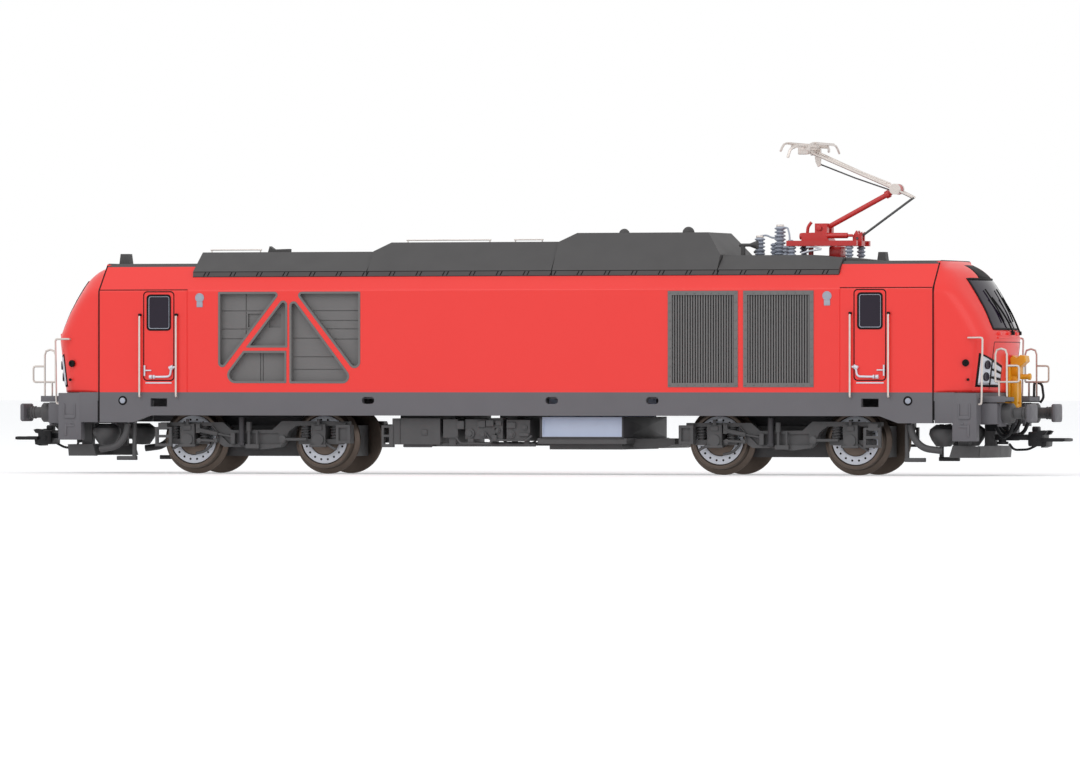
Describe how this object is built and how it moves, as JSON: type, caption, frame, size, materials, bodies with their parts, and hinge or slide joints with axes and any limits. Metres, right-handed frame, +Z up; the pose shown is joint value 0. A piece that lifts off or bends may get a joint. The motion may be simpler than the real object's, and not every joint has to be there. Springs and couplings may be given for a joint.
{
  "type": "model dual-mode locomotive",
  "caption": "H0 scale model of an electric and diesel locomotive with cabs at each end, lattice windows, roof hoods, a raised half pantograph and swivelling bogies.",
  "frame": {"origin": "centre of length and width, on the floor under the wheel flanges", "axes": "+X towards the pantograph end, +Y to the far side in the picture, +Z up"},
  "size_m": [0.2372, 0.0366, 0.0707],
  "materials": {
    "body_red": "satin",
    "sill_grey": "matte",
    "roof_grey": "matte",
    "bogie_grey": "matte",
    "panel_grey": "matte",
    "wheel_steel": "brushed",
    "wire_nickel": "satin",
    "glass_dark": "gloss",
    "lamp_silver": "gloss",
    "case_grey": "matte",
    "insulator_grey": "satin",
    "pan_red": "satin",
    "coupler_black": "matte",
    "coupler_yellow": "satin",
    "weight_metal": "cast",
    "cab_grey": "matte"
  },
  "bodies": {
    "root": {"body_shell": "body_red", "window_rims": "panel_grey", "window_panels": "panel_grey", "side_grilles": "panel_grey", "door_windows": "glass_dark", "cab_front_left": "body_red", "cab_front_right": "body_red", "windscreen_left": "glass_dark", "windscreen_right": "glass_dark", "sill_frame": "sill_grey", "end_frame_left": "sill_grey", "end_frame_right": "sill_grey", "buffers": "sill_grey", "end_railings": "wire_nickel", "door_handrails": "wire_nickel", "headlamps": "lamp_silver", "roof_hood_rear": "roof_grey", "roof_hood_middle": "roof_grey", "roof_hood_front": "roof_grey", "roof_deck_low": "roof_grey", "cab_roof_decks": "roof_grey", "roof_domes": "roof_grey", "roof_cover_small": "roof_grey", "insulators": "insulator_grey", "horns": "roof_grey", "pantograph_base": "pan_red", "underfloor_cabinets": "bogie_grey", "radiator_case": "case_grey", "chassis_weight": "weight_metal", "cab_interiors": "cab_grey", "rail_guard_left": "bogie_grey", "rail_guard_right": "bogie_grey", "coupler_brackets": "coupler_black", "shunting_coupler": "coupler_yellow"},
    "bogie_left": {"bogie_frame_left": "bogie_grey", "bogie_dampers_left": "bogie_grey"},
    "bogie_right": {"bogie_frame_right": "bogie_grey", "bogie_dampers_right": "bogie_grey"},
    "wheels_1": {"wheelset_1": "wheel_steel"},
    "wheels_2": {"wheelset_2": "wheel_steel"},
    "wheels_3": {"wheelset_3": "wheel_steel"},
    "wheels_4": {"wheelset_4": "wheel_steel"},
    "coupler_l": {"coupler_left": "coupler_black"},
    "coupler_r": {"coupler_right": "coupler_black"},
    "pan_lower": {"pantograph_lower_arm": "pan_red"},
    "pan_upper": {"pantograph_upper_arm": "wire_nickel"},
    "pan_guide": {"pantograph_guide_rod": "weight_metal"},
    "pan_top": {"pantograph_head": "wire_nickel"}
  },
  "joints": [
    {"name": "bogie_left_swivel", "type": "hinge", "parent": "root", "child": "bogie_left", "pos_m": [-0.05955, 0, 0.0132], "axis": [0, 0, 1], "range_deg": [-9, 9]},
    {"name": "bogie_right_swivel", "type": "hinge", "parent": "root", "child": "bogie_right", "pos_m": [0.05955, 0, 0.0132], "axis": [0, 0, 1], "range_deg": [-9, 9]},
    {"name": "wheels_1_spin", "type": "hinge", "parent": "bogie_left", "child": "wheels_1", "pos_m": [-0.07455, 0, 0.0074], "axis": [0, 1, 0], "continuous": true},
    {"name": "wheels_2_spin", "type": "hinge", "parent": "bogie_left", "child": "wheels_2", "pos_m": [-0.04455, 0, 0.0074], "axis": [0, 1, 0], "continuous": true},
    {"name": "wheels_3_spin", "type": "hinge", "parent": "bogie_right", "child": "wheels_3", "pos_m": [0.04455, 0, 0.0074], "axis": [0, 1, 0], "continuous": true},
    {"name": "wheels_4_spin", "type": "hinge", "parent": "bogie_right", "child": "wheels_4", "pos_m": [0.07455, 0, 0.0074], "axis": [0, 1, 0], "continuous": true},
    {"name": "coupler_l_swing", "type": "hinge", "parent": "root", "child": "coupler_l", "pos_m": [-0.104, 0, 0.0081], "axis": [0, 0, 1], "range_deg": [-12, 12]},
    {"name": "coupler_r_swing", "type": "hinge", "parent": "root", "child": "coupler_r", "pos_m": [0.104, 0, 0.0081], "axis": [0, 0, 1], "range_deg": [-12, 12]},
    {"name": "pan_raise", "type": "hinge", "parent": "root", "child": "pan_lower", "pos_m": [0.0648, 0, 0.0523], "axis": [0, -1, 0], "range_deg": [-22, 28]},
    {"name": "pan_elbow", "type": "hinge", "parent": "pan_lower", "child": "pan_upper", "pos_m": [0.0808, 0, 0.0607], "axis": [0, -1, 0], "range_deg": [-49, 38.5]},
    {"name": "pan_rocker", "type": "hinge", "parent": "pan_upper", "child": "pan_top", "pos_m": [0.0619, 0, 0.0689], "axis": [0, -1, 0], "range_deg": [-16.5, 21]},
    {"name": "pan_guide_swing", "type": "hinge", "parent": "root", "child": "pan_guide", "pos_m": [0.0724, 0, 0.0503], "axis": [0, -1, 0], "range_deg": [-24.9, 31.7]}
  ],
  "couplings": [
    {"joint": "pan_elbow", "follows": "pan_raise", "ratio": -1.75},
    {"joint": "pan_rocker", "follows": "pan_raise", "ratio": 0.75},
    {"joint": "pan_guide_swing", "follows": "pan_raise", "ratio": 1.13}
  ]
}
